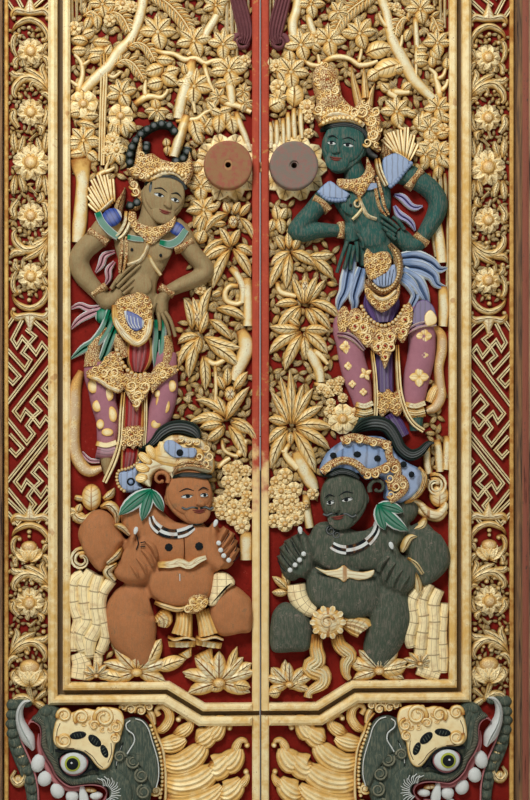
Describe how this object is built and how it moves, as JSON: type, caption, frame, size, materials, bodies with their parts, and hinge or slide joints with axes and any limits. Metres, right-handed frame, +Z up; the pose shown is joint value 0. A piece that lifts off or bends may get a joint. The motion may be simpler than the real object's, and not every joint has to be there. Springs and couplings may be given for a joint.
{
  "type": "carved temple door",
  "caption": "Carved and gilded double temple door in a timber frame: pivoted leaves with relief figures, key-fret borders, pull bosses and a draw bolt.",
  "frame": {"origin": "middle of the sill's underside, in the plane of the four pivots", "axes": "+Z up, -Y towards the visitor who looks at the carving, +X to the visitor's right"},
  "size_m": [1.303, 0.1364, 2.098],
  "materials": {
    "weathered_timber": "weathered, matt",
    "red_ground": "matt red paint, worn",
    "red_stile": "matt red paint, worn",
    "gilded_wood": "worn gold leaf over red",
    "tan_paint": "matt tan paint",
    "teal_paint": "matt dark teal paint, worn",
    "brown_paint": "matt brown paint, worn",
    "dark_green_paint": "matt dark green paint, worn",
    "boss_paint": "matt mauve paint, worn",
    "bare_wood": "bare wood, matt"
  },
  "bodies": {
    "frame": {"threshold": "weathered_timber", "lintel": "weathered_timber", "left_post": "weathered_timber", "right_post": "weathered_timber", "head_stop": "weathered_timber", "sill_stop": "weathered_timber", "frame_pegs": "weathered_timber"},
    "left_leaf": {"left_attendant": "brown_paint", "left_batten_pegs": "bare_wood", "left_battens": "bare_wood", "left_border_flowers": "gilded_wood", "left_border_fret": "gilded_wood", "left_boss": "boss_paint", "left_boss_plug": "bare_wood", "left_edge_trim": "gilded_wood", "left_foliage_lower": "gilded_wood", "left_foliage_upper": "gilded_wood", "left_foot_pivot": "bare_wood", "left_guardian_head": "dark_green_paint", "left_guardian_mane": "gilded_wood", "left_head_pivot": "bare_wood", "left_inner_moulding": "gilded_wood", "left_inner_plank": "red_ground", "left_lotus": "gilded_wood", "left_lower_stile": "gilded_wood", "left_outer_moulding": "gilded_wood", "left_outer_plank": "red_ground", "left_prince": "tan_paint", "left_upper_stile": "red_stile", "bolt_loops": "bare_wood"},
    "right_leaf": {"right_attendant": "dark_green_paint", "right_batten_pegs": "bare_wood", "right_battens": "bare_wood", "right_border_flowers": "gilded_wood", "right_border_fret": "gilded_wood", "right_boss": "boss_paint", "right_edge_trim": "gilded_wood", "right_foliage_lower": "gilded_wood", "right_foliage_upper": "gilded_wood", "right_foot_pivot": "bare_wood", "right_guardian_head": "dark_green_paint", "right_guardian_mane": "gilded_wood", "right_head_pivot": "bare_wood", "right_inner_moulding": "gilded_wood", "right_inner_plank": "red_ground", "right_lotus": "gilded_wood", "right_lower_stile": "gilded_wood", "right_outer_moulding": "gilded_wood", "right_outer_plank": "red_ground", "right_prince": "teal_paint", "right_upper_stile": "red_stile", "bolt_keeper": "bare_wood"},
    "bolt": {"bolt": "bare_wood"}
  },
  "joints": [
    {"name": "left_hinge", "type": "hinge", "parent": "frame", "child": "left_leaf", "pos_m": [-0.4355, 0, 0], "axis": [0, 0, 1], "range_deg": [0, 95]},
    {"name": "right_hinge", "type": "hinge", "parent": "frame", "child": "right_leaf", "pos_m": [0.4355, 0, 0], "axis": [0, 0, -1], "range_deg": [0, 95]},
    {"name": "bolt_slide", "type": "slide", "parent": "left_leaf", "child": "bolt", "axis": [1, 0, 0], "range_m": [0, 0.08]}
  ]
}
